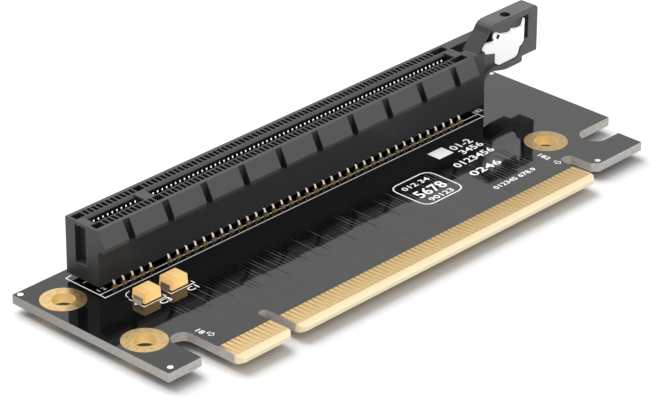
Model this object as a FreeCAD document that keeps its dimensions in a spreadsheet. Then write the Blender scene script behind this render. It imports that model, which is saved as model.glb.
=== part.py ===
import FreeCAD, Part
import os
import re
import Sketcher
from FreeCAD import Placement, Rotation, Vector

# A card adapter: a flat board with a card-edge tongue in front and an upright card slot behind it.
# Every piece is drawn in one local frame: X along the tongue with 0 at the key notch, Y from the
# tongue to the rear edge with 0 near the inner ends of the gold fingers, Z with 0 on the board's top.
# One shared shift then centres the whole over the origin with its lowest points at height 0.

os.makedirs("parts", exist_ok=True)
doc = FreeCAD.newDocument("riser_card")
sheet = doc.addObject("Spreadsheet::Sheet", "sizes")

driving = [
    ("boardThick", 1.6), ("tabFront", 0.1), ("tipReach", 4.56), ("tongueSpareLeft", 1.0),
    ("tongueSpareRight", 0.8), ("tongueCorner", 0.8), ("bevelRun", 1.3), ("bevelAngle", 20.0),
    ("leftNotchWide", 4.0), ("leftNotchEnd", 8.2), ("keyWide", 1.9), ("keyEnd", 3.8),
    ("rightNotchWide", 2.8), ("rightNotchEnd", 4.1), ("hookFront", 1.9), ("hookCorner", 1.1),
    ("hookSlotLow", 3.15), ("hookSlotWide", 5.1), ("hookSlotGap", 1.36), ("hookLip", 3.45),
    ("hookStep", 3.55),
    ("screwBore", 3.96), ("ringWide", 7.54), ("platingWall", 0.16), ("platingGap", 0.02),
    ("ringThick", 0.05), ("holeStep", 18.5), ("ringOverNotch", 1.3), ("ringPastNotch", 1.9),
    ("ringOverHook", 2.65), ("ringEdgeLeft", 0.71), ("ringEdgeRear", 3.18),
    ("pitch", 1.0), ("shortCount", 11), ("longCount", 71), ("keyToContact", 1.5),
    ("fingerWide", 0.72), ("fingerInner", 0.55), ("fingerThick", 0.04),
    ("slotToRear", 5.8), ("slotWide", 7.5), ("slotTop", 11.05), ("standOff", 1.0),
    ("slotEndLeft", 2.1), ("slotEndRight", 6.6), ("rearWallOut", 6.4), ("gapSpareLeft", 0.5),
    ("gapSpareRight", 1.4), ("cardGap", 1.8), ("mouthWide", 2.65), ("mouthDeep", 0.45),
    ("gapFloor", 2.8), ("floorBar", 1.6), ("bridgeWide", 2.1), ("chamberTop", 9.9),
    ("windowWall", 0.7), ("windowDeep", 1.5), ("windowLong", 0.72), ("chamberEase", 0.12),
    ("endWall", 0.45),
    ("channelWall", 0.5), ("skirt", 0.3), ("notchWide", 0.64), ("notchHigh", 0.5),
    ("grooveOff", 0.3), ("grooveWide", 2.5), ("grooveDeep", 1.25), ("grooveFloor", 3.7),
    ("grooveLid", 0.55),
    ("channelSpare", 2.1), ("channelAhead", 0.8), ("channelBehind", 1.65), ("channelFloor", 3.0),
    ("pegWide", 2.3), ("pegGap", 0.1), ("footWide", 3.4), ("footSink", 0.7), ("pegSpare", 4.5),
    ("pegShort", 0.2),
    ("blockStep", 8.57), ("blockGap", 1.4), ("firstBlock", 6.05), ("lastBlockShort", 3.0),
    ("blockOut", 1.5), ("blockLow", 8.2), ("blockLip", 7.5), ("blockRoot", 7.25), ("blockLipBack", 0.15),
    ("earThick", 3.4), ("recessDeep", 0.95), ("webThick", 0.6),
    ("deckBore", 1.9), ("deckBoreAt", 6.65), ("deckBoreBack", 1.38), ("deckBoreDeep", 1.4),
    ("pivotAt", 3.45), ("pivotUp", 1.75), ("pinWide", 0.56), ("pinTipWide", 0.4), ("pinGap", 0.05),
    ("pinBack", 0.3), ("pinProud", 0.12), ("leverThick", 0.65), ("leverInset", 0.1),
    ("bossWide", 1.3), ("neckWide", 0.8), ("neckFoot", 1.3), ("bladeThick", 0.3),
    ("lugStart", 6.4), ("lugLong", 2.7), ("lugLow", 1.15), ("lugHigh", 0.9),
    ("lugPast", 0.65), ("lugSide", 0.6), ("lugUnder", 0.3), ("lugOver", 0.6),
    ("contactWide", 0.4), ("sheetThick", 0.22), ("rowInner", 1.25), ("tailRoom", 0.14),
    ("tailOut", 0.35), ("tailUnder", 0.05), ("tipOff", 0.61), ("tipHigh", 10.1),
    ("jointWide", 1.2), ("jointTip", 0.5), ("jointHigh", 1.25),
    ("capLong", 3.6), ("capDeep", 2.9), ("capHigh", 1.8), ("capLift", 0.2), ("capInset", 0.15),
    ("capStep", 5.9), ("capToSlot", 11.75), ("capTaper", 3.0), ("strapThick", 0.12),
    ("strapWide", 2.0), ("strapHigh", 1.1), ("strapFoot", 0.8), ("landThick", 0.04),
    ("landOut", 0.45), ("solderHigh", 0.5), ("solderOut", 0.3),
    ("markWide", 1.0), ("markThick", 0.03), ("markInset", 0.9), ("markInsetTab", 1.5),
    ("markTabUp", 1.23), ("markHookAt", 1.65),
]
derived = [
    ("lastShort", "keyToContact + pitch * (shortCount - 1)"),
    ("lastLong", "keyToContact + pitch * (longCount - 1)"),
    ("tongueLeft", "lastShort + tongueSpareLeft"),
    ("tongueRight", "lastLong + tongueSpareRight"),
    ("holeLeft", "tongueLeft + leftNotchWide + ringWide / 2 - ringOverNotch"),
    ("holeFront", "leftNotchEnd + ringPastNotch"),
    ("leftReach", "holeLeft + ringWide / 2 + ringEdgeLeft"),
    ("rearReach", "holeFront + holeStep + ringWide / 2 + ringEdgeRear"),
    ("hookSide", "tongueRight + rightNotchWide"),
    ("holeRight", "hookSide + ringWide / 2 - ringOverHook"),
    ("hookSlotInner", "holeRight + ringWide / 2 + hookSlotGap"),
    ("hookSlotMid", "hookSlotInner + hookSlotWide / 2"),
    ("hookEnd", "hookSlotMid + hookLip"),
    ("rightReach", "hookEnd + hookStep"),
    ("slotMid", "rearReach - slotToRear"),
    ("slotFront", "slotMid - slotWide / 2"),
    ("slotBack", "slotMid + slotWide / 2"),
    ("windowOuter", "slotWide / 2 - windowWall"),
    ("windowInner", "windowOuter - windowDeep"),
    ("chamberOuter", "windowOuter + chamberEase"),
    ("slotLeft", "lastShort + slotEndLeft"),
    ("slotRight", "lastLong + slotEndRight"),
    ("rearWallEnd", "slotRight + rearWallOut"),
    ("gapLeft", "lastShort + gapSpareLeft"),
    ("gapRight", "lastLong + gapSpareRight"),
    ("channelStart", "gapRight + channelSpare"),
    ("channelFront", "slotMid - channelAhead"),
    ("channelBack", "slotMid + channelBehind"),
    ("pegRight", "lastLong + pegSpare"),
    ("firstGap", "slotLeft - firstBlock"),
    ("blockEnd", "slotRight - lastBlockShort"),
    ("gapCount", "floor((blockEnd + firstGap - blockGap) / blockStep) + 1"),
    ("bevelDrop", "bevelRun * tan(bevelAngle * 1deg)"),
    ("leftNotchMid", "leftNotchEnd - leftNotchWide / 2"),
    ("keyMid", "keyEnd - keyWide / 2"),
    ("rightNotchMid", "rightNotchEnd - rightNotchWide / 2"),
    ("boreRoom", "screwBore / 2 + platingWall + platingGap"),
    ("earEnd", "slotRight + earAcross7"),
    ("earBack", "slotFront + earThick"),
    ("recessBack", "slotFront + recessDeep"),
    ("webFront", "earBack - webThick"),
    ("leverFront", "slotFront + leverInset"),
    ("leverBack", "leverFront + leverThick"),
    ("pivotX", "slotRight + pivotAt"),
    ("pivotZ", "slotTop + pivotUp"),
    ("bendOuter", "slotWide / 2 - skirt - tailRoom - sheetThick / 2"),
    ("edgeOuter", "slotWide / 2 - tailUnder"),
    ("rowOuter", "slotWide / 2 + tailOut"),
    ("capLeft", "lastShort - capInset"),
    ("capSecond", "capLeft - capStep"),
    ("capFront", "slotMid - capToSlot"),
    ("shiftX", "(leftReach - earEnd) / 2"),
    ("shiftY", "(tipReach - rearReach) / 2"),
    ("shiftZ", "boardThick + jointHigh"),
]


# Outlines in the upright plane of the ear, as steps to the right of the housing's end and up from its top.
outlines = {
    "ear": [
        (-2.05, 0.0), (0.75, 3.15), (1.3, 3.95), (1.85, 4.35), (2.65, 4.55), (13.35, 4.55), (13.85, 4.05),
        (13.85, -4.12), (10.0, -4.12), (10.0, -4.95), (9.65, -5.2), (6.0, -5.25), (4.95, -5.1),
        (1.8, -4.35), (0.4, -5.15), (-0.1, -5.4), (-2.05, -5.4),
    ],
    "recess": [
        (-1.55, 0.0), (1.0, 2.92), (1.65, 3.8), (2.3, 4.15), (3.3, 4.12), (5.4, 3.66), (7.0, 3.53),
        (11.4, 3.53), (11.4, -0.95), (10.75, -0.95), (10.65, -1.3), (10.3, -1.85), (9.6, -2.2),
        (9.45, -2.6), (9.2, -3.4), (8.35, -4.0), (4.0, -4.08), (3.3, -3.9), (1.8, -3.85), (0.0, -4.4),
        (0.0, 0.0),
    ],
    "pocket": [(-1.55, 0.0), (1.0, 2.92), (1.65, 3.8), (2.3, 4.15), (2.8, 4.1), (2.8, 0.0)],
    "lever": [
        (0.1, 1.2), (0.1, -0.35), (0.5, -0.65), (1.5, -0.9), (3.55, -1.45), (3.55, -3.45), (3.8, -3.75),
        (4.2, -3.83), (8.2, -3.75), (8.95, -3.25), (9.2, -2.45), (9.35, -2.1), (10.1, -1.7),
        (10.45, -1.2), (10.5, 0.65), (10.5, 1.45), (9.7, 1.3), (8.65, 1.6), (7.55, 1.8), (7.3, 1.4),
        (6.25, 1.45), (4.65, 1.8), (4.65, 0.75), (3.1, 0.85), (0.6, 1.2),
    ],
    "blade": [
        (9.0, 1.2), (10.5, 1.2), (10.5, 3.0), (10.25, 3.0), (10.12, 2.4), (9.9, 1.9), (9.5, 1.72), (9.0, 1.7),
    ],
}


def sized(text):
    return re.sub(r"(?<![\w.])([a-z][a-z]*[A-Z]\w*|pitch|skirt)\b", r"sizes.\1", text)


def measure(text):
    return float(sheet.evalExpression(sized(text)))


def fill_sheet():
    rows = [(name, str(value)) for name, value in driving]
    for name, points in outlines.items():
        for number, (across, up) in enumerate(points, 1):
            rows += [(f"{name}Across{number}", str(across)), (f"{name}Up{number}", str(up))]
    rows += [(name, "=" + text) for name, text in derived]
    for number, (name, text) in enumerate(rows, 1):
        sheet.set(f"A{number}", name)
        sheet.set(f"B{number}", text)
        sheet.setAlias(f"B{number}", name)
    doc.recompute()


def bind(thing, sizes):
    for name, text in sizes.items():
        thing.setExpression(name, sized(text))
    return thing


def bind_base(thing, place):
    axes = ("Placement.Base.x", "Placement.Base.y", "Placement.Base.z")
    return bind(thing, dict(zip(axes, place)))


def block(name, low, high):
    box = doc.addObject("Part::Box", name)
    spans = [f"({top}) - ({bottom})" for bottom, top in zip(low, high)]
    bind(box, dict(zip(("Length", "Width", "Height"), spans)))
    return bind_base(box, low)


def post(name, radius, start, height, axis="Z"):
    rod = doc.addObject("Part::Cylinder", name)
    bind(rod, {"Radius": radius, "Height": height})
    if axis == "Y":
        rod.Placement.Rotation = Rotation(Vector(1, 0, 0), -90)
    return bind_base(rod, start)


def fuse(name, pieces):
    joined = doc.addObject("Part::MultiFuse", name)
    joined.Shapes = pieces
    return joined


def cut(name, base, tools):
    result = doc.addObject("Part::Cut", name)
    result.Base = base
    result.Tool = tools[0] if len(tools) == 1 else fuse(name + "_tools", tools)
    return result


def new_body(name):
    body = doc.addObject("PartDesign::Body", name)
    body.AllowCompound = True
    return body


def origin_part(body, role):
    return next(item for item in body.Origin.OriginFeatures if item.Role == role)


def draw(body, plane, corners, lift):
    sketch = body.newObject("Sketcher::SketchObject", body.Name + "_outline")
    sketch.AttachmentSupport = [(origin_part(body, plane), "")]
    sketch.MapMode = "FlatFace"
    bind(sketch, {"AttachmentOffset.Base.z": lift})
    points = [Vector(measure(across), measure(along), 0) for across, along in corners]
    for number, point in enumerate(points):
        sketch.addGeometry(Part.LineSegment(point, points[(number + 1) % len(points)]), False)
    for number, (across, along) in enumerate(corners):
        following = (number + 1) % len(corners)
        sketch.addConstraint(Sketcher.Constraint("Coincident", number, 2, following, 1))
        for kind, text in (("DistanceX", across), ("DistanceY", along)):
            value = measure(text)
            index = sketch.addConstraint(Sketcher.Constraint(kind, -1, 1, number, 1, value))
            sketch.setExpression(f"Constraints[{index}]", sized(text))
    return sketch


def pad(body, sketch, length, taper=None):
    solid = body.newObject("PartDesign::Pad", body.Name + "_pad")
    solid.Profile = sketch
    bind(solid, {"Length": length})
    if taper:
        bind(solid, {"TaperAngle": taper})
    return solid


def repeat(body, feature, step, count):
    pattern = body.newObject("PartDesign::LinearPattern", body.Name + "_row")
    pattern.Originals = [feature]
    pattern.Direction = (origin_part(body, "X_Axis"), [""])
    bind(pattern, {"Length": f"({step}) * (({count}) - 1)", "Occurrences": count})
    body.Tip = pattern
    return pattern


def extrude(name, plane, corners, lift, length):
    body = new_body(name)
    pad(body, draw(body, plane, corners, lift), length)
    return body


def outline(name):
    numbers = range(1, len(outlines[name]) + 1)
    return [(f"slotRight + {name}Across{number}", f"slotTop + {name}Up{number}") for number in numbers]


def rectangle(left, right, low, high):
    return [(left, low), (right, low), (right, high), (left, high)]


def around(middle, span):
    return f"({middle}) - ({span}) / 2", f"({middle}) + ({span}) / 2"


def comb(name, plane, corners, lift, length, runs):
    body = new_body(name)
    for start, step, count in runs:
        moved = [(f"({start}) + ({across})", along) for across, along in corners]
        repeat(body, pad(body, draw(body, plane, moved, lift), length), step, count)
    return body


def cross_comb(name, profile, width, runs):
    body = new_body(name)
    for start, step, count in runs:
        sketch = draw(body, "YZ_Plane", profile, f"({start}) - ({width}) / 2")
        repeat(body, pad(body, sketch, width), step, count)
    return body


def make_board():
    corners = [
        ("-leftReach", "rearReach"), ("-leftReach", "tabFront"),
        ("-tongueLeft - leftNotchWide", "tabFront"), ("-tongueLeft - leftNotchWide", "leftNotchMid"),
        ("-tongueLeft", "leftNotchMid"), ("-tongueLeft", "tongueCorner - tipReach"),
        ("tongueCorner - tongueLeft", "-tipReach"), ("-keyWide / 2 - tongueCorner", "-tipReach"),
        ("-keyWide / 2", "tongueCorner - tipReach"), ("-keyWide / 2", "keyMid"),
        ("keyWide / 2", "keyMid"), ("keyWide / 2", "tongueCorner - tipReach"),
        ("keyWide / 2 + tongueCorner", "-tipReach"), ("tongueRight - tongueCorner", "-tipReach"),
        ("tongueRight", "tongueCorner - tipReach"), ("tongueRight", "rightNotchMid"),
        ("hookSide", "rightNotchMid"), ("hookSide", "hookCorner - hookFront"),
        ("hookSide + hookCorner", "-hookFront"), ("hookEnd", "-hookFront"),
        ("hookEnd", "hookSlotLow"), ("hookSlotMid", "hookSlotLow"),
        ("hookSlotMid", "hookSlotLow + hookSlotWide"), ("rightReach", "hookSlotLow + hookSlotWide"),
        ("rightReach", "rearReach"),
    ]
    slab = extrude("slab", "XY_Plane", corners, "-boardThick", "boardThick")
    rounds = [
        ("left_notch_end", "leftNotchWide / 2", "-tongueLeft - leftNotchWide / 2", "leftNotchMid"),
        ("key_end", "keyWide / 2", "0", "keyMid"),
        ("right_notch_end", "rightNotchWide / 2", "tongueRight + rightNotchWide / 2", "rightNotchMid"),
        ("hook_slot_end", "hookSlotWide / 2", "hookSlotMid", "hookSlotLow + hookSlotWide / 2"),
        ("peg_hole_key", "pegWide / 2 + pegGap", "0", "slotMid"),
        ("peg_hole_right", "pegWide / 2 + pegGap", "pegRight", "slotMid"),
    ]
    rounds += [(f"screw_hole_{spot}", "boreRoom", across, along) for spot, across, along in screw_spots]
    tools = [
        post(name, radius, (across, along, "-boardThick"), "boardThick")
        for name, radius, across, along in rounds
    ]
    for face, edge, drop in (
        ("top", "0", "-bevelDrop"),
        ("bottom", "-boardThick", "bevelDrop - boardThick"),
    ):
        corners = [("-tipReach", edge), ("bevelRun - tipReach", edge), ("-tipReach", drop)]
        tools.append(extrude(f"bevel_{face}", "YZ_Plane", corners, "-tongueLeft", "tongueLeft + tongueRight"))
    return cut("board", slab, tools)


def make_plating(spot, across, along):
    ring = "ringWide / 2"
    top = post(f"{spot}_ring_top", ring, (across, along, "0"), "ringThick")
    bottom = post(f"{spot}_ring_bottom", ring, (across, along, "-boardThick - ringThick"), "ringThick")
    through = (across, along, "-boardThick - ringThick")
    length = "boardThick + ringThick * 2"
    barrel = post(f"{spot}_barrel", "screwBore / 2 + platingWall", through, length)
    bore = post(f"{spot}_bore", "screwBore / 2", through, length)
    return cut(f"{spot}_plating", fuse(f"{spot}_blank", [top, bottom, barrel]), [bore])


def make_fingers(name, start, count, lift):
    left, right = around("0", "fingerWide")
    corners = rectangle(left, right, "bevelRun - tipReach", "fingerInner")
    return comb(name, "XY_Plane", corners, lift, "fingerThick", [(start, "pitch", count)])


def make_wedges():
    profile = [
        ("slotFront", "slotTop"), ("slotFront - blockOut", "blockLow"),
        ("slotFront - blockOut + blockLipBack", "blockLip"), ("slotFront", "blockRoot"),
        ("slotFront + blockOut", "blockRoot"), ("slotFront + blockOut", "slotTop"),
    ]
    strip = extrude("wedge_strip", "YZ_Plane", profile, "-slotLeft", "slotLeft + blockEnd")
    left, right = around("-firstGap", "blockGap")
    corners = rectangle(left, right, "slotFront - blockOut * 2", "slotFront")
    runs = [("0", "blockStep", "gapCount")]
    gaps = comb("wedge_gaps", "XY_Plane", corners, "standOff", "slotTop", runs)
    return cut("wedges", strip, [gaps])


def make_ear():
    plate = extrude("ear_plate", "XZ_Plane", outline("ear"), "-earBack", "earThick")
    hollow = extrude("ear_recess", "XZ_Plane", outline("recess"), "-recessBack", "earThick")
    pocket = extrude("ear_pocket", "XZ_Plane", outline("pocket"), "-webFront", "earThick")
    left = "slotRight + lugStart"
    low = "slotTop - lugLow"
    gate = block(
        "lug_gate", (f"{left} - lugSide", "recessBack", f"{low} - lugUnder"),
        (f"{left} + lugLong + lugSide", "earBack", f"{low} + lugHigh + lugOver"),
    )
    floor = "slotTop + earUp5 - deckBoreDeep"
    middle = ("slotRight + deckBoreAt", "slotFront + deckBoreBack", floor)
    bore = post("deck_bore", "deckBore / 2", middle, "deckBoreDeep")
    seat = post("pin_seat", "pinWide / 2", ("pivotX", "recessBack", "pivotZ"), "earBack - recessBack", "Y")
    return plate, [hollow, pocket, gate, bore, seat]


def chamber_tools():
    tools = []
    for name, left, right in slot_sections:
        tools.append(block(
            f"chamber_{name}", (left, "slotMid - chamberOuter", "gapFloor"),
            (right, "slotMid + chamberOuter", "chamberTop"),
        ))
        for side, near, far in (
            ("front", "slotFront + skirt", "slotMid - floorBar / 2"),
            ("rear", "slotMid + floorBar / 2", "slotBack - skirt"),
        ):
            tools.append(block(f"outlet_{name}_{side}", (left, near, "standOff"), (right, far, "gapFloor")))
    return tools


def window_tools():
    tools = []
    for side, near, far in (
        ("front", "slotMid - windowOuter", "slotMid - windowInner"),
        ("rear", "slotMid + windowInner", "slotMid + windowOuter"),
    ):
        left, right = around("0", "windowLong")
        runs = [
            ("pitch - lastShort", "pitch", "shortCount"),
            ("keyToContact + pitch", "pitch", "longCount - 2"),
        ]
        corners = rectangle(left, right, near, far)
        depth = "slotTop - chamberTop"
        tools.append(comb(f"windows_{side}", "XY_Plane", corners, "chamberTop", depth, runs))
        for end, start, stop in (
            ("left", "endWall - slotLeft", "windowLong / 2 - lastShort"),
            ("key", "keyToContact - pitch - windowLong / 2", "keyToContact + windowLong / 2"),
            ("right", "lastLong - windowLong / 2", "channelStart - channelWall"),
        ):
            tools.append(block(f"window_{side}_{end}", (start, near, "chamberTop"), (stop, far, "slotTop")))
    return tools


def notch_tools():
    tools = []
    left, right = around("0", "notchWide")
    for side, near, far in (
        ("front", "slotFront - skirt", "slotFront + skirt"),
        ("rear", "slotBack - skirt", "slotBack + skirt"),
    ):
        corners = rectangle(left, right, near, far)
        tools.append(comb(f"notches_{side}", "XY_Plane", corners, "standOff", "notchHigh", contact_runs(1)))
    return tools


def make_housing():
    low, high = "standOff", "slotTop"
    core = block("core", ("-slotLeft", "slotFront", low), ("slotRight", "slotBack", high))
    wall = block("rear_wall", ("slotRight", "channelBack", low), ("rearWallEnd", "slotBack", high))
    plate, tools = make_ear()
    pieces = [core, wall, plate, make_wedges()]
    for name, across in (("key", "0"), ("right", "pegRight")):
        foot = (across, "slotMid", "0")
        peg = (across, "slotMid", "pegShort - boardThick")
        pieces.append(post(f"foot_{name}", "footWide / 2", foot, "standOff + footSink"))
        pieces.append(post(f"peg_{name}", "pegWide / 2", peg, "boardThick + standOff"))
    mouth = [
        ("slotMid - mouthWide / 2", "slotTop"), ("slotMid - cardGap / 2", "slotTop - mouthDeep"),
        ("slotMid - cardGap / 2", "chamberTop"), ("slotMid + cardGap / 2", "chamberTop"),
        ("slotMid + cardGap / 2", "slotTop - mouthDeep"), ("slotMid + mouthWide / 2", "slotTop"),
    ]
    for name, left, right in slot_sections:
        tools.append(extrude(f"mouth_{name}", "YZ_Plane", mouth, left, f"{right} - ({left})"))
    near, far = around("slotMid + grooveOff", "grooveWide")
    lid = "slotTop - grooveLid"
    tools.append(block("end_groove", ("-slotLeft", near, "grooveFloor"), ("grooveDeep - slotLeft", far, lid)))
    tools.append(block(
        "hook_channel", ("channelStart", "channelFront", "channelFloor"), ("slotRight", "channelBack", high),
    ))
    tools += chamber_tools() + window_tools() + notch_tools()
    return cut("slot_housing", fuse("housing_blank", pieces), tools)


def make_lever():
    plate = extrude("lever_plate", "XZ_Plane", outline("lever"), "-leverBack", "leverThick")
    blade_back = "-leverFront - bladeThick"
    blade = extrude("lever_blade", "XZ_Plane", outline("blade"), blade_back, "bladeThick")
    boss = post("lever_boss", "bossWide / 2", ("pivotX", "leverFront", "pivotZ"), "leverThick", "Y")
    left, right = around("pivotX", "neckWide")
    neck = block("lever_neck", (left, "leverFront", "pivotZ - neckFoot"), (right, "leverBack", "pivotZ"))
    start, low = "slotRight + lugStart", "slotTop - lugLow"
    lug = block("lever_lug", (start, "leverBack", low), (f"{start} + lugLong", "slotMid + lugPast", f"{low} + lugHigh"))
    centre = ("pivotX", "leverFront", "pivotZ")
    bore = post("lever_bore", "pinWide / 2 + pinGap", centre, "leverThick", "Y")
    return cut("latch_lever", fuse("lever_blank", [plate, blade, boss, neck, lug]), [bore])


def make_pin():
    start = "leverFront + pinBack"
    shank = post("pin_shank", "pinWide / 2", ("pivotX", start, "pivotZ"), f"earBack - ({start})", "Y")
    tip = post("pin_tip", "pinTipWide / 2", ("pivotX", f"{start} - pinProud", "pivotZ"), "pinProud * 2", "Y")
    return fuse("pivot_pin", [shank, tip])


def contact_runs(shift):
    return [
        (f"pitch * {shift} - lastShort", "pitch * 2", f"floor((shortCount + {1 - shift}) / 2)"),
        (f"keyToContact + pitch * {1 - shift}", "pitch * 2", f"floor((longCount + {shift}) / 2)"),
    ]


def make_outer_contacts(side, sign):
    half = "sheetThick / 2"
    stations = (
        ("rowOuter", "0"), ("edgeOuter", "standOff"),
        ("bendOuter", "standOff + notchHigh - tailRoom"), ("tipOff", "tipHigh"),
    )
    outside = [(f"slotMid {sign} ({off} + {half})", height) for off, height in stations]
    inside = [(f"slotMid {sign} ({off} - {half})", height) for off, height in reversed(stations)]
    return cross_comb(f"contacts_{side}_outer", outside + inside, "contactWide", contact_runs(1))


def make_inner_contacts(side, sign):
    foot = f"slotMid {sign} (rowInner"
    tip = f"slotMid {sign} (tipOff"
    half = "sheetThick / 2)"
    profile = [
        (f"{foot} + {half}", "0"), (f"{tip} + {half}", "tipHigh"),
        (f"{tip} - {half}", "tipHigh"), (f"{foot} - {half}", "0"),
    ]
    return cross_comb(f"contacts_{side}_inner", profile, "contactWide", contact_runs(0))


def make_joints(name, row, shift):
    body = new_body(name)
    spans = {"min": ("-jointWide / 2", "-jointTip / 2"), "max": ("jointWide / 2", "jointTip / 2")}
    for start, step, count in contact_runs(shift):
        joint = body.newObject("PartDesign::AdditiveWedge", name + "_joint")
        joint.AttachmentSupport = [(origin_part(body, "XY_Plane"), "")]
        joint.MapMode = "FlatFace"
        joint.AttachmentOffset = Placement(Vector(), Rotation(Vector(1, 0, 0), -90))
        sizes = {f"AttachmentOffset.Base.{axis}": text for axis, text in zip("xyz", (start, row, "-boardThick"))}
        for end, (root, tip) in spans.items():
            sizes.update({f"X{end}": root, f"Z{end}": root, f"X2{end}": tip, f"Z2{end}": tip})
        sizes.update({"Ymin": "0", "Ymax": "jointHigh"})
        bind(joint, sizes)
        repeat(body, joint, step, count)
    return body


def make_case(number, left):
    body = new_body(f"capacitor_case_{number}")
    corners = rectangle(f"-{left}", f"capLong - {left}", "capFront", "capFront + capDeep")
    pad(body, draw(body, "XY_Plane", corners, "capLift"), "capHigh", "-capTaper")
    return body


def make_straps(number, left):
    near, far = around("capFront + capDeep / 2", "strapWide")
    pieces = []
    for end, outer, inner, foot in (
        ("left", f"-{left} - strapThick", f"-{left}", f"strapFoot - {left}"),
        ("right", f"capLong + strapThick - {left}", f"capLong - {left}", f"capLong - strapFoot - {left}"),
    ):
        base = "capLift - strapThick"
        profile = [
            (outer, base), (foot, base), (foot, "capLift"), (inner, "capLift"),
            (inner, "strapHigh"), (outer, "strapHigh"),
        ]
        pieces.append(extrude(f"strap_{number}_{end}", "XZ_Plane", profile, f"-({far})", "strapWide"))
    return fuse(f"capacitor_straps_{number}", pieces)


def make_solder(number, left):
    near, far = around("capFront + capDeep / 2", "strapWide")
    pieces = []
    for end, outer, sign, foot in (
        ("left", f"-{left} - strapThick", "-", f"strapFoot - {left}"),
        ("right", f"capLong + strapThick - {left}", "+", f"capLong - strapFoot - {left}"),
    ):
        profile = [
            (foot, "0"), (f"{outer} {sign} landOut", "0"),
            (f"{outer} {sign} landOut", "landThick"), (f"{outer} {sign} solderOut", "landThick * 2"),
            (outer, "solderHigh"), (outer, "capLift - strapThick"), (foot, "capLift - strapThick"),
        ]
        pieces.append(extrude(f"fillet_{number}_{end}", "XZ_Plane", profile, f"-({far})", "strapWide"))
    return fuse(f"capacitor_solder_{number}", pieces)


def make_marks():
    spots = (
        ("rear_left", "markInset - leftReach", "rearReach - markInset"),
        ("tab", "markInsetTab - leftReach", "tabFront + markTabUp"),
        ("hook", "hookSide + markHookAt", "markInset - hookFront"),
        ("rear_right", "rightReach - markInset", "rearReach - markInset"),
    )
    dots = [
        post(f"dot_{name}", "markWide / 2", (across, along, "0"), "markThick")
        for name, across, along in spots
    ]
    return fuse("corner_marks", dots)


screw_spots = (
    ("left_rear", "-holeLeft", "holeFront + holeStep"),
    ("left_front", "-holeLeft", "holeFront"),
    ("right", "holeRight", "holeFront"),
)


slot_sections = (
    ("short", "-gapLeft", "-bridgeWide / 2"),
    ("long", "bridgeWide / 2", "gapRight"),
)


def make_all():
    pieces = {"board": make_board(), "slot_housing": make_housing()}
    for spot, across, along in screw_spots:
        pieces[f"screw_plating_{spot}"] = make_plating(spot, across, along)
    faces = (("top", "0"), ("bottom", "-boardThick - fingerThick"))
    for face, lift in faces:
        short = make_fingers(f"fingers_{face}_short", "-lastShort", "shortCount", lift)
        pieces[f"gold_fingers_{face}_short"] = short
        long = make_fingers(f"fingers_{face}_long", "keyToContact", "longCount", lift)
        pieces[f"gold_fingers_{face}_long"] = long
    for side, sign in (("front", "-"), ("rear", "+")):
        pieces[f"contacts_{side}_outer"] = make_outer_contacts(side, sign)
        pieces[f"contacts_{side}_inner"] = make_inner_contacts(side, sign)
        for row, shift in (("Outer", 1), ("Inner", 0)):
            name = f"joints_{side}_{row.lower()}"
            pieces[f"tail_{name}"] = make_joints(name, f"slotMid {sign} row{row}", shift)
    for number, left in ((1, "capSecond"), (2, "capLeft")):
        pieces[f"capacitor_case_{number}"] = make_case(number, left)
        pieces[f"capacitor_straps_{number}"] = make_straps(number, left)
        pieces[f"capacitor_solder_{number}"] = make_solder(number, left)
    pieces["corner_marks"] = make_marks()
    pieces["latch_lever"] = make_lever()
    pieces["latch_pin"] = make_pin()
    return pieces


def settle(piece, label):
    piece.Label = label
    bind_base(piece, ("shiftX", "shiftY", "shiftZ"))


def write_parts(pieces):
    doc.recompute()
    for thing in doc.Objects:
        assert not {"Invalid", "Error"} & set(thing.State), thing.Name
    for label, piece in pieces.items():
        shape = piece.Shape
        assert not shape.isNull() and shape.isValid() and shape.Solids, label
        print(label, len(shape.Solids), round(shape.Volume, 3))
        shape.exportStep(f"parts/{label}.step")


fill_sheet()
allPieces = make_all()
for label, piece in allPieces.items():
    settle(piece, label)
write_parts(allPieces)
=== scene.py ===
import math
import bmesh
import bpy
from mathutils import Matrix, Vector


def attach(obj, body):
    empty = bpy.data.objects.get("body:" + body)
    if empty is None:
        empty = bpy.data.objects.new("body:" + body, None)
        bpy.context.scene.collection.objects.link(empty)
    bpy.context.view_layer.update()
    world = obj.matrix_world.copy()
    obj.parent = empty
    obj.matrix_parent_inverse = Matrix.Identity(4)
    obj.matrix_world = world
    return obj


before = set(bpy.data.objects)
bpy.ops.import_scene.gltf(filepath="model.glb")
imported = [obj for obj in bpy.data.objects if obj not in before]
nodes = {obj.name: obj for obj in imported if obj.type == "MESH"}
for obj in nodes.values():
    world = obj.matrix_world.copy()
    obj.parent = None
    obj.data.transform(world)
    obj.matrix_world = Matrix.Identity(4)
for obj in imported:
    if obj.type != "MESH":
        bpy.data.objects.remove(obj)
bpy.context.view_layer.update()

# Drawing frame in millimetres: X from the key notch, Y from the fingers' inner ends, Z from the board's top.
mm = 0.001
shift = Vector((-34.25, -15.495, 2.85))
slotMid = 29.75
loose, tight, exact = 0.5, 0.9, 0.99    # how squarely a face has to look one way
noiseSpan, wideSpan = (0.3, 0.7), (0.2, 0.8)    # most and nearly all of a noise


def at(x, y, z):
    return (Vector((x, y, z)) + shift) * mm


def newMaterial(name):
    material = bpy.data.materials.new(name)
    material.use_nodes = True
    tree = material.node_tree
    return material, tree, tree.nodes["Principled BSDF"]


def link(tree, value, socket):
    if isinstance(value, bpy.types.NodeSocket):
        tree.links.new(value, socket)
    else:
        socket.default_value = value


def maths(tree, operation, first, second=0.0):
    node = tree.nodes.new("ShaderNodeMath")
    node.operation = operation
    for socket, value in zip(node.inputs, (first, second)):
        link(tree, value, socket)
    return node.outputs[0]


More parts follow.
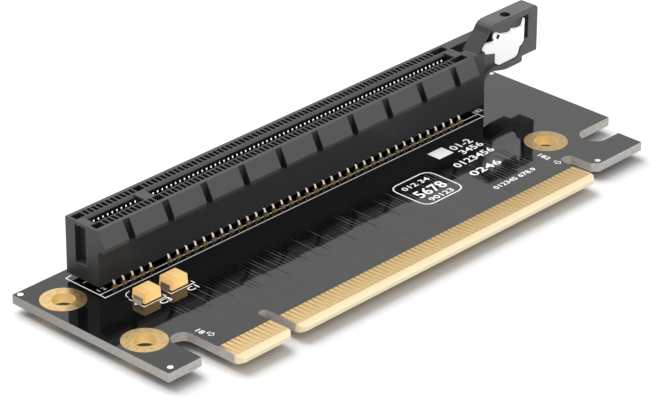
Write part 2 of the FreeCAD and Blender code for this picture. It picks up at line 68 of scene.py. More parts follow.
def times(tree, first, second):
    return maths(tree, "MULTIPLY", first, second)


def less(tree, value, limit):
    return maths(tree, "LESS_THAN", value, limit)


def more(tree, value, limit):
    return maths(tree, "GREATER_THAN", value, limit)


def within(tree, value, low, high):
    return times(tree, more(tree, value, low), less(tree, value, high))


def floorOf(tree, value, step):
    return maths(tree, "FLOOR", maths(tree, "DIVIDE", value, step))


def chance(tree, value, seed):
    node = tree.nodes.new("ShaderNodeTexWhiteNoise")
    node.noise_dimensions = "1D"
    link(tree, maths(tree, "ADD", value, seed), node.inputs["W"])
    return node.outputs["Value"]


def place(tree):
    # Object coordinates as millimetres of the drawing frame.
    coords = tree.nodes.new("ShaderNodeTexCoord")
    mapping = tree.nodes.new("ShaderNodeMapping")
    mapping.inputs["Scale"].default_value = (1 / mm, 1 / mm, 1 / mm)
    mapping.inputs["Location"].default_value = -shift
    tree.links.new(coords.outputs["Object"], mapping.inputs["Vector"])
    return mapping.outputs[0]


def axes(tree, vector):
    split = tree.nodes.new("ShaderNodeSeparateXYZ")
    tree.links.new(vector, split.inputs[0])
    return split.outputs


def facing(tree):
    geometry = tree.nodes.new("ShaderNodeNewGeometry")
    return axes(tree, geometry.outputs["True Normal"])


def noise(tree, vector, scale, detail=2.0, roughness=0.5):
    node = tree.nodes.new("ShaderNodeTexNoise")
    node.inputs["Scale"].default_value = scale
    node.inputs["Detail"].default_value = detail
    node.inputs["Roughness"].default_value = roughness
    tree.links.new(vector, node.inputs["Vector"])
    return node.outputs["Fac"]


def mix(tree, factor, first, second):
    node = tree.nodes.new("ShaderNodeMix")
    node.data_type = "RGBA"
    link(tree, factor, node.inputs["Factor"])
    for socket, value in ((node.inputs["A"], first), (node.inputs["B"], second)):
        link(tree, value if isinstance(value, bpy.types.NodeSocket) else (*value, 1), socket)
    return node.outputs["Result"]


def spread(tree, value, low, high, outLow=0.0, outHigh=1.0):
    node = tree.nodes.new("ShaderNodeMapRange")
    for socket, number in zip(node.inputs[:5], (value, low, high, outLow, outHigh)):
        link(tree, number, socket)
    return node.outputs[0]


def blend(tree, factor, first, second):
    return spread(tree, factor, 0.0, 1.0, first, second)


def around(colour, amount):
    # The same colour a little darker and a little lighter.
    return ([channel * (1 - amount) for channel in colour],
            [min(1.0, channel * (1 + amount)) for channel in colour])


def bump(tree, height, depth, normal=None):
    node = tree.nodes.new("ShaderNodeBump")
    node.inputs["Distance"].default_value = depth * mm
    tree.links.new(height, node.inputs["Height"])
    if normal:
        tree.links.new(normal, node.inputs["Normal"])
    return node.outputs[0]


def soften(tree, radius):
    # Rounds the edges in the shading only.
    node = tree.nodes.new("ShaderNodeBevel")
    node.samples = 6
    node.inputs["Radius"].default_value = radius * mm
    return node.outputs[0]


grainLook = {"coarseDetail": 3.0, "fineness": 12, "roughSway": 0.15}


def grainy(name, colour, rough, metal=0.0, grain=0.15, scale=1.2, relief=0.004, glow=0.0):
    material, tree, shader = newMaterial(name)
    point = place(tree)
    fine = noise(tree, point, scale * grainLook["fineness"])
    tint = mix(tree, noise(tree, point, scale, grainLook["coarseDetail"]), *around(colour, grain))
    smoother, rougher = rough * (1 - grainLook["roughSway"]), rough * (1 + grainLook["roughSway"])
    link(tree, tint, shader.inputs["Base Color"])
    if glow:
        link(tree, tint, shader.inputs["Emission Color"])
        shader.inputs["Emission Strength"].default_value = glow
    shader.inputs["Metallic"].default_value = metal
    link(tree, spread(tree, fine, *wideSpan, smoother, rougher), shader.inputs["Roughness"])
    link(tree, bump(tree, fine, relief), shader.inputs["Normal"])
    return material


boardLook = {
    "mask": (0.0035, 0.0035, 0.004), "trace": (0.010, 0.010, 0.011),
    "laminate": (0.36, 0.33, 0.305), "pale": (0.57, 0.54, 0.51), "fleck": (0.162, 0.1485, 0.13725),
    "shade": (0.15, 0.135, 0.125), "gap": (0.16, 0.085, 0.03), "gapFront": (0.55, 0.39, 0.18),
    "bevel": (0.80, 0.66, 0.40), "cream": (0.84, 0.74, 0.50), "under": (0.33, 0.31, 0.285),
    "glow": 0.2, "refraction": 1.6, "bareRough": 0.45, "maskRough": (0.03, 0.06), "traceRough": 0.1,
    "fibreNoise": (2.2, 5.0, 0.75), "speckNoise": (9.0, 3.0, 0.7), "hazeNoise": (0.4, 3.0),
    "fibreSpan": (0.35, 0.65), "fleckSpan": (0.55, 0.75), "fleckMost": 0.6, "weaveDepth": 0.04,
    "patchScale": 0.8, "patchMost": 0.2,
    "shadeOver": (0.0, 30.0), "shadeFrom": (0.3, 0.75),
    "tongue": (-12.55, 72.35), "maskStart": 0.62, "gapFade": (0.3, -2.6),
    "bevelStart": -3.0, "creamFade": (-3.6, -4.5), "underFade": (-1.2, -1.5),
    "traceX": (-9.5, 70.5), "traceY": (1.2, 17.5), "traceStep": 0.8, "traceWide": 0.105,
    "traceTilt": (-0.10, 0.05), "traceSeed": 9.1, "waveStep": 4.3, "waveTilt": 0.006, "waveSeed": 4.3,
}


def traceLines(tree, x, y):
    # Copper runs under the mask tilt its gloss a little, line by line.
    step = boardLook["traceStep"]
    turn = maths(tree, "FRACT", maths(tree, "DIVIDE", x, step))
    across = maths(tree, "ABSOLUTE", maths(tree, "SUBTRACT", turn, 0.5))
    zone = times(tree, within(tree, y, *boardLook["traceY"]), within(tree, x, *boardLook["traceX"]))
    lines = times(tree, less(tree, across, boardLook["traceWide"]), zone)
    pick = chance(tree, floorOf(tree, x, step), boardLook["traceSeed"])
    tilt = times(tree, blend(tree, pick, *boardLook["traceTilt"]), lines)
    wave = chance(tree, floorOf(tree, x, boardLook["waveStep"]), boardLook["waveSeed"])
    wave = times(tree, blend(tree, wave, -boardLook["waveTilt"], boardLook["waveTilt"]), zone)
    normal = tree.nodes.new("ShaderNodeCombineXYZ")
    link(tree, maths(tree, "ADD", tilt, wave), normal.inputs["Y"])
    normal.inputs["Z"].default_value = 1.0
    straight = tree.nodes.new("ShaderNodeVectorMath")
    straight.operation = "NORMALIZE"
    link(tree, normal.outputs[0], straight.inputs[0])
    return straight.outputs[0], lines


def boardSide(tree, point, speck, y):
    # Bare fibre at the cut edges, with painted shade on the edges that face left.
    fibre = noise(tree, point, *boardLook["fibreNoise"])
    side = mix(tree, spread(tree, fibre, *boardLook["fibreSpan"]), boardLook["laminate"], boardLook["pale"])
    fleck = spread(tree, speck, *boardLook["fleckSpan"], 0.0, boardLook["fleckMost"])
    side = mix(tree, fleck, side, boardLook["fleck"])
    leftward = less(tree, facing(tree)[0], -tight)
    shade = times(tree, leftward, spread(tree, y, *boardLook["shadeOver"], *boardLook["shadeFrom"]))
    return mix(tree, shade, side, boardLook["shade"])


def boardBevel(tree, point, y, z):
    # The bevelled front is bare resin, greyer towards the underside.
    front = mix(tree, spread(tree, y, *boardLook["creamFade"]), boardLook["bevel"], boardLook["cream"])
    patch = noise(tree, point, boardLook["patchScale"])
    patch = spread(tree, patch, *noiseSpan, 0.0, boardLook["patchMost"])
    front = mix(tree, patch, front, boardLook["bevel"])
    return mix(tree, spread(tree, z, *boardLook["underFade"]), front, boardLook["under"])


def makeBoardMaterial():
    material, tree, shader = newMaterial("boardMask")
    point = place(tree)
    x, y, z = axes(tree, point)
    upward = facing(tree)[2]
    level = more(tree, maths(tree, "ABSOLUTE", upward), exact)
    tongue = within(tree, x, *boardLook["tongue"])
    bareTop = times(tree, tongue, less(tree, y, boardLook["maskStart"]))
    mask = times(tree, level, maths(tree, "SUBTRACT", 1.0, bareTop))
    bareness = maths(tree, "SUBTRACT", 1.0, mask)
    speck = noise(tree, point, *boardLook["speckNoise"])
    front = times(tree, tongue, less(tree, y, boardLook["bevelStart"]))
    bare = mix(tree, front, boardSide(tree, point, speck, y), boardBevel(tree, point, y, z))
    gap = mix(tree, spread(tree, y, *boardLook["gapFade"]), boardLook["gap"], boardLook["gapFront"])
    bare = mix(tree, times(tree, level, bareTop), bare, gap)
    tilted, lines = traceLines(tree, x, y)
    dark = mix(tree, lines, boardLook["mask"], boardLook["trace"])
    link(tree, mix(tree, mask, bare, dark), shader.inputs["Base Color"])
    # Bare laminate, bevel and gaps glow a little: painted light.
    link(tree, mix(tree, mask, bare, (0, 0, 0)), shader.inputs["Emission Color"])
    shader.inputs["Emission Strength"].default_value = boardLook["glow"]
    haze = noise(tree, point, *boardLook["hazeNoise"])
    gloss = spread(tree, haze, *noiseSpan, *boardLook["maskRough"])
    gloss = blend(tree, lines, gloss, boardLook["traceRough"])
    link(tree, blend(tree, mask, boardLook["bareRough"], gloss), shader.inputs["Roughness"])
    shader.inputs["IOR"].default_value = boardLook["refraction"]
    weave = bump(tree, times(tree, bareness, times(tree, speck, boardLook["weaveDepth"])), 1.0)
    onTop = times(tree, mask, more(tree, upward, loose))
    link(tree, mix(tree, onTop, weave, tilted), shader.inputs["Normal"])
    return material


goldLook = {
    "inner": (0.57, 0.406, 0.166), "front": (0.525, 0.378, 0.182), "worn": (0.44, 0.30, 0.13),
    "frontFade": (0.3, -3.2), "wearNoise": (1.4, 3.0), "wearSpan": (0.35, 0.75), "wearMost": 0.25,
    "grainScale": 12.0, "rough": (0.28, 0.4),
}


def makeGoldMaterial():
    material, tree, shader = newMaterial("goldPlate")
    point = place(tree)
    y = axes(tree, point)[1]
    tint = mix(tree, spread(tree, y, *goldLook["frontFade"]), goldLook["inner"], goldLook["front"])
    wear = noise(tree, point, *goldLook["wearNoise"])
    wear = spread(tree, wear, *goldLook["wearSpan"], 0.0, goldLook["wearMost"])
    link(tree, mix(tree, wear, tint, goldLook["worn"]), shader.inputs["Base Color"])
    shader.inputs["Metallic"].default_value = 1.0
    grain = noise(tree, point, goldLook["grainScale"])
    link(tree, spread(tree, grain, *noiseSpan, *goldLook["rough"]), shader.inputs["Roughness"])
    return material


# The housing is one black nylon; its walls, end faces, lower end faces, tops, slanted strut faces, deck and
# the inside of the slot's mouth get painted shade.
housingLook = {
    "body": (0.095, 0.095, 0.097), "wall": (0.040, 0.040, 0.041), "cool": (0.026, 0.030, 0.036),
    "end": (0.026, 0.026, 0.027), "low": (0.010, 0.010, 0.011), "edge": (0.15, 0.15, 0.155),
    "top": (0.055, 0.055, 0.057), "strut": (0.040, 0.040, 0.041), "deck": (0.074, 0.074, 0.076),
    "deep": (0.016, 0.016, 0.016), "mottleNoise": (0.9, 4.0, 0.6), "mottle": 0.1,
    "edgeMost": 0.32, "rounding": 0.13, "rimSpan": (0.97, 0.80), "wallLean": 0.1,
    "coolFade": (0.0, 14.0), "wallX": (-20.0, 78.2), "lowFade": (4.6, 3.2), "topZ": (10.9, 11.2),
    "strutLean": (-0.95, -0.2), "strutZ": 11.1, "deckZ": 15.4,
    "mouth": 0.97, "mouthX": (-12.1, 73.0), "mouthTop": 10.66,
    "shine": 0.5, "topShine": 0.22, "deepShine": 0.15,
    "grainScale": 14.0, "rough": (0.36, 0.48), "relief": 0.006,
}


def roundedRim(tree, rounded):
    # Where the rounded normal leaves the flat one, the edge gets a painted highlight.
    geometry = tree.nodes.new("ShaderNodeNewGeometry")
    dot = tree.nodes.new("ShaderNodeVectorMath")
    dot.operation = "DOT_PRODUCT"
    link(tree, rounded, dot.inputs[0])
    link(tree, geometry.outputs["True Normal"], dot.inputs[1])
    return spread(tree, dot.outputs["Value"], *housingLook["rimSpan"])


def makeHousingMaterial():
    material, tree, shader = newMaterial("housingNylon")
    point = place(tree)
    x, y, z = axes(tree, point)
    toRight, _, upward = facing(tree)
    rounded = soften(tree, housingLook["rounding"])
    upright = less(tree, maths(tree, "ABSOLUTE", upward), housingLook["wallLean"])
    wall = mix(tree, spread(tree, x, *housingLook["coolFade"]), housingLook["cool"], housingLook["wall"])
    slanted = within(tree, toRight, *housingLook["strutLean"])
    slanted = times(tree, slanted, more(tree, z, housingLook["strutZ"]))
    end = less(tree, toRight, -tight)
    level = more(tree, upward, tight)
    top = times(tree, level, within(tree, z, *housingLook["topZ"]))
    offset = maths(tree, "ABSOLUTE", maths(tree, "SUBTRACT", y, slotMid))
    inside = times(tree, less(tree, offset, housingLook["mouth"]), within(tree, x, *housingLook["mouthX"]))
    inside = times(tree, inside, less(tree, z, housingLook["mouthTop"]))
    mottle = noise(tree, point, *housingLook["mottleNoise"])
    body = mix(tree, mottle, *around(housingLook["body"], housingLook["mottle"]))
    # Each kind of face gets painted shade by the way it faces and where it sits; the lower end faces get
    # darker painted shade towards the board.
    for part, colour in (
        (times(tree, upright, within(tree, x, *housingLook["wallX"])), wall),
        (slanted, housingLook["strut"]),
        (end, housingLook["end"]),
        (times(tree, end, spread(tree, z, *housingLook["lowFade"])), housingLook["low"]),
        (top, housingLook["top"]),
        (times(tree, level, more(tree, z, housingLook["deckZ"])), housingLook["deck"]),
        (times(tree, roundedRim(tree, rounded), housingLook["edgeMost"]), housingLook["edge"]),
        (inside, housingLook["deep"]),
    ):
        body = mix(tree, part, body, colour)
    link(tree, body, shader.inputs["Base Color"])
    shine = blend(tree, maths(tree, "MAXIMUM", top, slanted), housingLook["shine"], housingLook["topShine"])
    link(tree, blend(tree, inside, shine, housingLook["deepShine"]), shader.inputs["Specular IOR Level"])
    grain = noise(tree, point, housingLook["grainScale"])
    link(tree, spread(tree, grain, *wideSpan, *housingLook["rough"]), shader.inputs["Roughness"])
    link(tree, bump(tree, grain, housingLook["relief"], rounded), shader.inputs["Normal"])
    return material


ringLook = {
    "dull": (0.40, 0.27, 0.12), "bright": (0.51, 0.37, 0.17), "barrel": (0.90, 0.58, 0.20),
    "mottleNoise": (1.3, 4.0, 0.6), "rimGlow": 0.03, "barrelGlow": 0.55, "rough": (0.25, 0.36),
}


def makeRingMaterial():
    material, tree, shader = newMaterial("platedRing")
    mottle = noise(tree, place(tree), *ringLook["mottleNoise"])
    tint = mix(tree, mottle, ringLook["dull"], ringLook["bright"])
    barrel = less(tree, maths(tree, "ABSOLUTE", facing(tree)[2]), loose)
    link(tree, tint, shader.inputs["Base Color"])
    # The barrel faces glow brightly and the rest faintly: painted light.
    link(tree, mix(tree, barrel, tint, ringLook["barrel"]), shader.inputs["Emission Color"])
    glow = blend(tree, barrel, ringLook["rimGlow"], ringLook["barrelGlow"])
    link(tree, glow, shader.inputs["Emission Strength"])
    shader.inputs["Metallic"].default_value = 1.0
    link(tree, spread(tree, mottle, *noiseSpan, *ringLook["rough"]), shader.inputs["Roughness"])
    return material


contactLook = {
    "dull": (0.74, 0.70, 0.64), "bright": (0.88, 0.85, 0.80), "deep": (0.05, 0.045, 0.04),
    "deepFade": (1.2, 2.2), "wearNoise": (3.0, 3.0), "metal": 0.9, "rough": (0.22, 0.34),
}


def makeContactMaterial():
    material, tree, shader = newMaterial("contactTin")
    point = place(tree)
    wear = noise(tree, point, *contactLook["wearNoise"])
    tint = mix(tree, wear, contactLook["dull"], contactLook["bright"])
    # Higher than about 2 mm the contacts turn dark: painted shade inside the housing.
    deep = spread(tree, axes(tree, point)[2], *contactLook["deepFade"])
    link(tree, mix(tree, deep, tint, contactLook["deep"]), shader.inputs["Base Color"])
    shader.inputs["Metallic"].default_value = contactLook["metal"]
    link(tree, spread(tree, wear, *noiseSpan, *contactLook["rough"]), shader.inputs["Roughness"])
    return material


caseLook = {
    "body": (0.92, 0.60, 0.23), "shade": (0.76, 0.40, 0.13), "band": (0.74, 0.27, 0.07),
    "side": (0.60, 0.40, 0.15), "between": -6.6, "starts": (-5.45, -11.35), "shadeFade": (1.3, 0.1),
    "shadeMost": 0.6, "sideMost": 0.8, "bandX": (0.95, 1.2), "bandOn": (0.12, 0.5),
    "mottleNoise": (1.6, 3.0), "mottle": 0.06, "glowLean": (0.3, 0.8), "glow": (0.7, 0.2),
    "grainScale": 18.0, "rough": (0.36, 0.46), "relief": 0.005, "rounding": 0.22,
}


def makeCaseMaterial():
    material, tree, shader = newMaterial("capacitorCase")
    point = place(tree)
    x = axes(tree, point)[0]
    toRight, _, upward = facing(tree)
    start = blend(tree, less(tree, x, caseLook["between"]), *caseLook["starts"])
    along = maths(tree, "SUBTRACT", x, start)
    mottle = noise(tree, point, *caseLook["mottleNoise"])
    body = mix(tree, mottle, *around(caseLook["body"], caseLook["mottle"]))
    shade = spread(tree, along, *caseLook["shadeFade"], 0.0, caseLook["shadeMost"])
    body = mix(tree, shade, body, caseLook["shade"])
    # Faces towards the left are darker: painted shade.
    leftward = times(tree, less(tree, toRight, -loose), caseLook["sideMost"])
    body = mix(tree, leftward, body, caseLook["side"])
    band = blend(tree, more(tree, upward, loose), *caseLook["bandOn"])
    band = times(tree, within(tree, along, *caseLook["bandX"]), band)
    body = mix(tree, band, body, caseLook["band"])
    link(tree, body, shader.inputs["Base Color"])
    # The case glows, most on its sides and least on top: painted light.
    link(tree, body, shader.inputs["Emission Color"])
    glow = spread(tree, upward, *caseLook["glowLean"], *caseLook["glow"])
    link(tree, glow, shader.inputs["Emission Strength"])
    fine = noise(tree, point, caseLook["grainScale"])
    rounded = soften(tree, caseLook["rounding"])
    link(tree, spread(tree, fine, *noiseSpan, *caseLook["rough"]), shader.inputs["Roughness"])
    link(tree, bump(tree, fine, caseLook["relief"], rounded), shader.inputs["Normal"])
    return material


latchLook = {
    "body": (0.88, 0.88, 0.88), "worn": (0.84, 0.84, 0.83), "bore": (0.03, 0.03, 0.03),
    "pivot": (81.55, 12.8), "boreWide": 0.45, "glow": 0.5, "leftGlow": 0.8,
    "wearNoise": (1.2, 3.0), "grainScale": 14.0, "rough": (0.4, 0.5), "relief": 0.004, "rounding": 0.1,
}


def makeLatchMaterial():
    material, tree, shader = newMaterial("latchNylon")
    point = place(tree)
    x, _, z = axes(tree, point)
    across = maths(tree, "SUBTRACT", x, latchLook["pivot"][0])
    rise = maths(tree, "SUBTRACT", z, latchLook["pivot"][1])
    reach = maths(tree, "ADD", times(tree, across, across), times(tree, rise, rise))
    bore = less(tree, maths(tree, "SQRT", reach), latchLook["boreWide"])
    wear = noise(tree, point, *latchLook["wearNoise"])
    body = mix(tree, wear, latchLook["body"], latchLook["worn"])
    body = mix(tree, bore, body, latchLook["bore"])
    link(tree, body, shader.inputs["Base Color"])
    # The latch glows, more on faces towards the left: painted light.
    link(tree, body, shader.inputs["Emission Color"])
    leftward = less(tree, facing(tree)[0], -loose)
    glow = blend(tree, leftward, latchLook["glow"], latchLook["leftGlow"])
    link(tree, glow, shader.inputs["Emission Strength"])
    fine = noise(tree, point, latchLook["grainScale"])
    rounded = soften(tree, latchLook["rounding"])
    link(tree, spread(tree, fine, *wideSpan, *latchLook["rough"]), shader.inputs["Roughness"])
    link(tree, bump(tree, fine, latchLook["relief"], rounded), shader.inputs["Normal"])
    return material


materials = {
    "board": makeBoardMaterial(),
    "housing": makeHousingMaterial(),
    "gold": makeGoldMaterial(),
    "tin": makeContactMaterial(),
    "ring": makeRingMaterial(),
    "case": makeCaseMaterial(),
    "latch": makeLatchMaterial(),
    "joint": grainy("jointSolder", (0.62, 0.58, 0.50), rough=0.3, metal=1.0, grain=0.12),
    "solder": grainy("padSolder", (0.30, 0.26, 0.21), rough=0.35, metal=1.0, grain=0.5, scale=4.0),
    "strap": grainy(
        "strapTin", (0.44, 0.39, 0.33), rough=0.35, metal=0.7, grain=0.9, scale=5.0, relief=0.04),
    "dot": grainy("barePad", (0.80, 0.74, 0.55), rough=0.35, metal=1.0, grain=0.05),
    "pin": grainy("pinSteel", (0.07, 0.07, 0.07), rough=0.5, metal=0.6),
    # The print ink glows a little: painted light.
    "print": grainy("printInk", (0.78, 0.78, 0.78), rough=0.6, grain=0.06, scale=4.0, glow=0.3),
    "dome": grainy(
        "tailSolder", (0.22, 0.15, 0.075), rough=0.2, metal=1.0, grain=0.7, scale=2.4, relief=0.05),
    # The contact heads glow white: a painted highlight.
    "head": grainy("contactHead", (0.92, 0.92, 0.92), rough=0.3, metal=0.6, grain=0.03, glow=0.8),
    "speck": grainy("viaSpeck", (0.10, 0.07, 0.03), rough=0.5, grain=0.2),
}
looks = {
    "board": "board", "slot_housing": "housing", "gold_fingers": "gold", "screw_plating": "ring",
    "contacts": "tin", "tail_joints": "joint", "capacitor_case": "case", "capacitor_straps": "strap",
    "capacitor_solder": "solder", "corner_marks": "dot", "latch_lever": "latch", "latch_pin": "pin",
}
for name, node in nodes.items():
    look = next(value for prefix, value in looks.items() if name.startswith(prefix))
    node.data.materials.clear()
    node.data.materials.append(materials[look])
print("materials done")


def dress(name, mesh, look, smooth=False):
    bmesh.ops.recalc_face_normals(mesh, faces=mesh.faces)
    for face in mesh.faces:
        face.smooth = smooth
    data = bpy.data.meshes.new(name)
    mesh.to_mesh(data)
    mesh.free()
    data.materials.append(materials[look])
    piece = bpy.data.objects.new(name, data)
    bpy.context.collection.objects.link(piece)
    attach(piece, "riser")


def scaled(size):
    return Matrix.Diagonal((size[0] * mm, size[1] * mm, size[2] * mm, 1))


def addDot(mesh, spot, radius, thick, sides):
    bmesh.ops.create_cone(
        mesh, cap_ends=True, segments=sides, radius1=radius * mm, radius2=radius * mm, depth=thick * mm,
        matrix=Matrix.Translation(spot))


def addBall(mesh, spot, size, facets):
    bmesh.ops.create_uvsphere(
        mesh, u_segments=facets[0], v_segments=facets[1], radius=1.0,
        matrix=Matrix.Translation(spot) @ scaled(size))


printLook = {
    "thick": 0.012, "lift": 0.008, "line": 0.19, "bold": 0.24, "thin": 0.12, "heavier": 0.015,
    "slotFrame": ((-12.8, 33.5), (-14.0, 33.4), (-14.0, 24.2), (76.0, 24.2), (76.0, 25.5), (-13.9, 25.5)),
    "caseFrames": (
        ((-11.7, 21.2), (-11.75, 17.7), (-6.95, 17.7), (-6.9, 18.5)),
        ((-5.9, 19.6), (-5.85, 17.7), (-0.75, 17.7), (-0.75, 18.4)),
        ((-9.9, 23.1), (-10.7, 22.9), (-11.25, 22.4), (-11.4, 21.8)),
    ),
    "dot": (-12.0, 19.3), "dotWide": 0.28, "dotSides": 12,
    "stamp": (44.3, 53.8, 8.6, 17.3, 1.7), "block": ((59.8, 20.0), (60.6, 20.0)), "blockHigh": 2.8,
    "arrow": ((-0.25, 0), (-0.25, -0.7), (-0.6, -0.7), (0, -1.3), (0.6, -0.7), (0.25, -0.7), (0.25, 0)),
    "arrowSpots": ((-10.5, 4.8), (71.5, 4.1)),
}
# Text, x, y, height, angle and widening.
printText = (
    ("C3", -9.2, 16.2, 1.75, 0, 1.15), ("C1", -3.2, 16.1, 1.75, 0, 1.15), ("182", 75.6, 25.85, 1.4, 0, 1.1),
    ("1", -13.5, 26.3, 1.2, 0, 1.2), ("2", -12.5, 26.2, 1.2, 0, 1.2), ("1", -13.1, 30.6, 1.3, -90, 1.0),
    ("18", -11.6, 6.9, 1.5, -90, 1.2), ("182", 71.0, 7.9, 1.5, -90, 1.2),
    ("012 34", 45.6, 14.8, 1.7, 0, 1.35), ("5678", 45.6, 11.2, 3.3, 0, 1.05),
    ("90123", 46.2, 9.2, 1.7, 0, 1.35), ("01-2", 62.6, 19.0, 2.3, 0, 1.2), ("3456", 62.6, 16.9, 2.1, 0, 1.3),
    ("0123456", 58.2, 14.2, 2.2, 0, 1.25), ("0246", 57.8, 10.2, 2.3, 0, 1.6),
    ("012345 678.9", 56.8, 4.3, 1.5, 0, 1.25),
)


def stroke(mesh, points, width, closed=False):
    ends = points[1:] + points[:1] if closed else points[1:]
    for start, stop in zip(points, ends):
        run = Vector(stop) - Vector(start)
        middle = (Vector(start) + Vector(stop)) / 2
        turn = Matrix.Rotation(math.atan2(run.y, run.x), 4, "Z")
        spot = Matrix.Translation(at(middle.x, middle.y, printLook["lift"]))
        size = scaled((run.length + width, width, printLook["thick"]))
        bmesh.ops.create_cube(mesh, size=1.0, matrix=spot @ turn @ size)


def label(mesh, text, x, y, height, angle, wide):
    curve = bpy.data.curves.new("label", "FONT")
    curve.body = text
    curve.size = height
    curve.extrude = printLook["thick"] / 2
    curve.resolution_u = 2
    curve.offset = height * printLook["heavier"]
    letters = bpy.data.objects.new("label", curve)
    bpy.context.collection.objects.link(letters)
    bpy.context.view_layer.update()
    flat = bpy.data.meshes.new_from_object(letters.evaluated_get(bpy.context.evaluated_depsgraph_get()))
    bpy.data.objects.remove(letters)
    spot = Matrix.Translation(at(x, y, printLook["lift"]))
    turn = Matrix.Rotation(math.radians(angle), 4, "Z")
    flat.transform(spot @ turn @ scaled((wide, 1, 1)))
    mesh.from_mesh(flat)
    bpy.data.meshes.remove(flat)


def roundedFrame(left, right, low, high, radius):
    corners = ((right - radius, high - radius, 0), (left + radius, high - radius, 90),
               (left + radius, low + radius, 180), (right - radius, low + radius, 270))
    points = []
    for x, y, start in corners:
        for step in (0, 30, 60, 90):
            angle = math.radians(start + step)
            points.append((x + radius * math.cos(angle), y + radius * math.sin(angle)))
    return points


def makePrint():
    mesh = bmesh.new()
    for points in (printLook["slotFrame"], *printLook["caseFrames"]):
        stroke(mesh, points, printLook["line"])
    spot = at(*printLook["dot"], printLook["lift"])
    addDot(mesh, spot, printLook["dotWide"], printLook["thick"], printLook["dotSides"])
    for words in printText:
        label(mesh, *words)
    stroke(mesh, roundedFrame(*printLook["stamp"]), printLook["bold"], True)
    stroke(mesh, printLook["block"], printLook["blockHigh"])
    for x, y in printLook["arrowSpots"]:
        points = [(x + across, y + along) for across, along in printLook["arrow"]]
        stroke(mesh, points, printLook["thin"], True)
    dress("silkPrint", mesh, "print")


contactSizes = {
    "pitch": 1.0, "short": (-11.5, 11), "long": (1.5, 71),
    "head": (0.12, 0.14, 0.2), "headOut": 0.46, "headUp": 10.2, "headFacets": (8, 6),
    "dome": (0.7, 0.55, 0.5), "domeOut": 4.1, "domeFoot": 0.005, "domeFacets": (10, 8),
}


def contactSpots():
    return [
        start + number * contactSizes["pitch"]
        for start, count in (contactSizes["short"], contactSizes["long"]) for number in range(count)
    ]


def outerSpots():
    # Every second contact has its tail in the outer row.
    return contactSpots()[1::2]


def makeHeads():
    for side, sign, look in (("front", -1, "tin"), ("rear", 1, "head")):
        mesh = bmesh.new()
        for x in contactSpots():
            spot = at(x, slotMid + sign * contactSizes["headOut"], contactSizes["headUp"])
            addBall(mesh, spot, contactSizes["head"], contactSizes["headFacets"])
        dress(f"contactHeads_{side}", mesh, look, smooth=True)


def makeDomes():
    for side, sign in (("front", -1), ("rear", 1)):
        mesh = bmesh.new()
        for x in outerSpots():
            spot = at(x, slotMid + sign * contactSizes["domeOut"], 0.0)
            addBall(mesh, spot, contactSizes["dome"], contactSizes["domeFacets"])
        bmesh.ops.bisect_plane(
            mesh, geom=mesh.verts[:] + mesh.edges[:] + mesh.faces[:],
            plane_co=at(0, 0, contactSizes["domeFoot"]), plane_no=(0, 0, 1), clear_inner=True)
        dress(f"tailCones_{side}", mesh, "dome", smooth=True)


speckSizes = {
    "rings": ((-18.97, 28.6), (-18.97, 10.1), (76.22, 10.1)), "perRing": 8, "firstAngle": 22.5,
    "ringRadius": 3.0, "ringLift": 0.055, "ringWide": 0.13, "ringThick": 0.01,
    "vias": 22, "viaStart": (2.4, 3.0), "viaStep": 3.1, "viaSway": 0.5, "viaTurn": 2.1,
    "viaLift": 0.004, "viaWide": 0.14, "viaThick": 0.008, "sides": 8,
}


def makeSpecks():
    mesh = bmesh.new()
    for across, along in speckSizes["rings"]:
        for number in range(speckSizes["perRing"]):
            angle = math.radians(speckSizes["firstAngle"] + 360 / speckSizes["perRing"] * number)
            x = across + speckSizes["ringRadius"] * math.cos(angle)
            y = along + speckSizes["ringRadius"] * math.sin(angle)
            spot = at(x, y, speckSizes["ringLift"])
            addDot(mesh, spot, speckSizes["ringWide"], speckSizes["ringThick"], speckSizes["sides"])
    for number in range(speckSizes["vias"]):
        x = speckSizes["viaStart"][0] + speckSizes["viaStep"] * number
        y = speckSizes["viaStart"][1] + speckSizes["viaSway"] * math.sin(number * speckSizes["viaTurn"])
        spot = at(x, y, speckSizes["viaLift"])
        addDot(mesh, spot, speckSizes["viaWide"], speckSizes["viaThick"], speckSizes["sides"])
    dress("viaSpecks", mesh, "speck")


makePrint()
makeHeads()
makeDomes()
makeSpecks()
print("pieces done")

cameraSetup = {
    "yaw": 0.810794, "pitch": 0.481986, "roll": 0.003452, "spot": (-337.862, -331.243, 267.822),
    "sensor": 36.0, "focalPixels": 3488.044, "photoWide": 650, "farClip": 20.0,
}


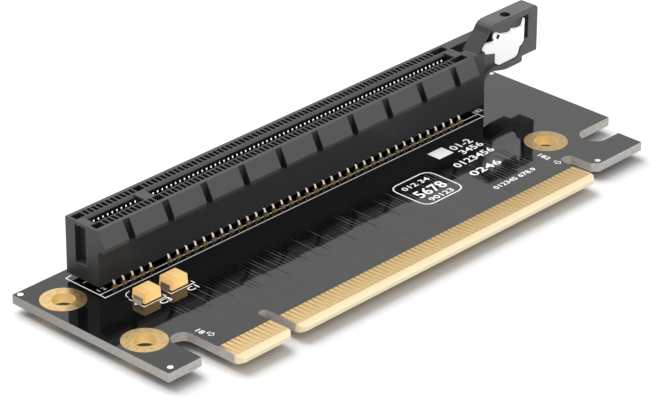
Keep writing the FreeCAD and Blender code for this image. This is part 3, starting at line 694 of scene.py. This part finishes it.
def makeCamera():
    yaw, pitch, roll = cameraSetup["yaw"], cameraSetup["pitch"], cameraSetup["roll"]
    forward = Vector((math.sin(yaw) * math.cos(pitch), math.cos(yaw) * math.cos(pitch), -math.sin(pitch)))
    right = Vector((math.cos(yaw), -math.sin(yaw), 0))
    up = right.cross(forward)
    turnedRight = math.cos(roll) * right + math.sin(roll) * up
    turnedUp = math.cos(roll) * up - math.sin(roll) * right
    data = bpy.data.cameras.new("photoCamera")
    data.sensor_fit = "HORIZONTAL"
    data.sensor_width = cameraSetup["sensor"]
    data.lens = cameraSetup["focalPixels"] * cameraSetup["sensor"] / cameraSetup["photoWide"]
    data.clip_end = cameraSetup["farClip"]
    camera = bpy.data.objects.new("photoCamera", data)
    turn = Matrix((turnedRight, turnedUp, -forward)).transposed().to_4x4()
    camera.matrix_world = Matrix.Translation(at(*cameraSetup["spot"])) @ turn
    bpy.context.collection.objects.link(camera)
    bpy.context.scene.camera = camera


makeCamera()
print("camera done")

# Lengths in metres here.
studioLook = {
    "ambient": 0.55, "seen": 1.0, "key": 4.4, "keySpot": (0.02, 0.37, 0.52), "keySize": 0.6,
    "floorSize": 6, "floorDrop": 0.0002,
    "paper": ((0.94, 0.94, 0.94), (0.96, 0.96, 0.96)), "paperScale": 0.02, "paperRough": 0.9,
}


def makeSky():
    # White where it is seen or mirrored, dimmer as a source of light.
    world = bpy.data.worlds.new("studio")
    world.use_nodes = True
    bpy.context.scene.world = world
    tree = world.node_tree
    background = tree.nodes["Background"]
    background.inputs["Color"].default_value = (1, 1, 1, 1)
    path = tree.nodes.new("ShaderNodeLightPath")
    seen = maths(tree, "MAXIMUM", path.outputs["Is Camera Ray"], path.outputs["Is Glossy Ray"])
    link(tree, blend(tree, seen, studioLook["ambient"], studioLook["seen"]), background.inputs["Strength"])


def makeFloor():
    bpy.ops.mesh.primitive_plane_add(size=studioLook["floorSize"], location=(0, 0, -studioLook["floorDrop"]))
    floor = bpy.context.object
    floor.name = "floor"
    material, tree, shader = newMaterial("paper")
    grain = noise(tree, place(tree), studioLook["paperScale"])
    link(tree, mix(tree, grain, *studioLook["paper"]), shader.inputs["Base Color"])
    shader.inputs["Roughness"].default_value = studioLook["paperRough"]
    shader.inputs["Specular IOR Level"].default_value = 0.0
    floor.data.materials.append(material)


def makeKeyLight():
    data = bpy.data.lights.new("keyLight", "AREA")
    data.shape = "SQUARE"
    data.size = studioLook["keySize"]
    data.energy = studioLook["key"]
    light = bpy.data.objects.new("keyLight", data)
    light.location = studioLook["keySpot"]
    light.rotation_euler = (-light.location).to_track_quat("-Z", "Y").to_euler()
    bpy.context.collection.objects.link(light)


makeSky()
makeFloor()
makeKeyLight()
bpy.context.scene.view_settings.view_transform = "Standard"
print("studio done")
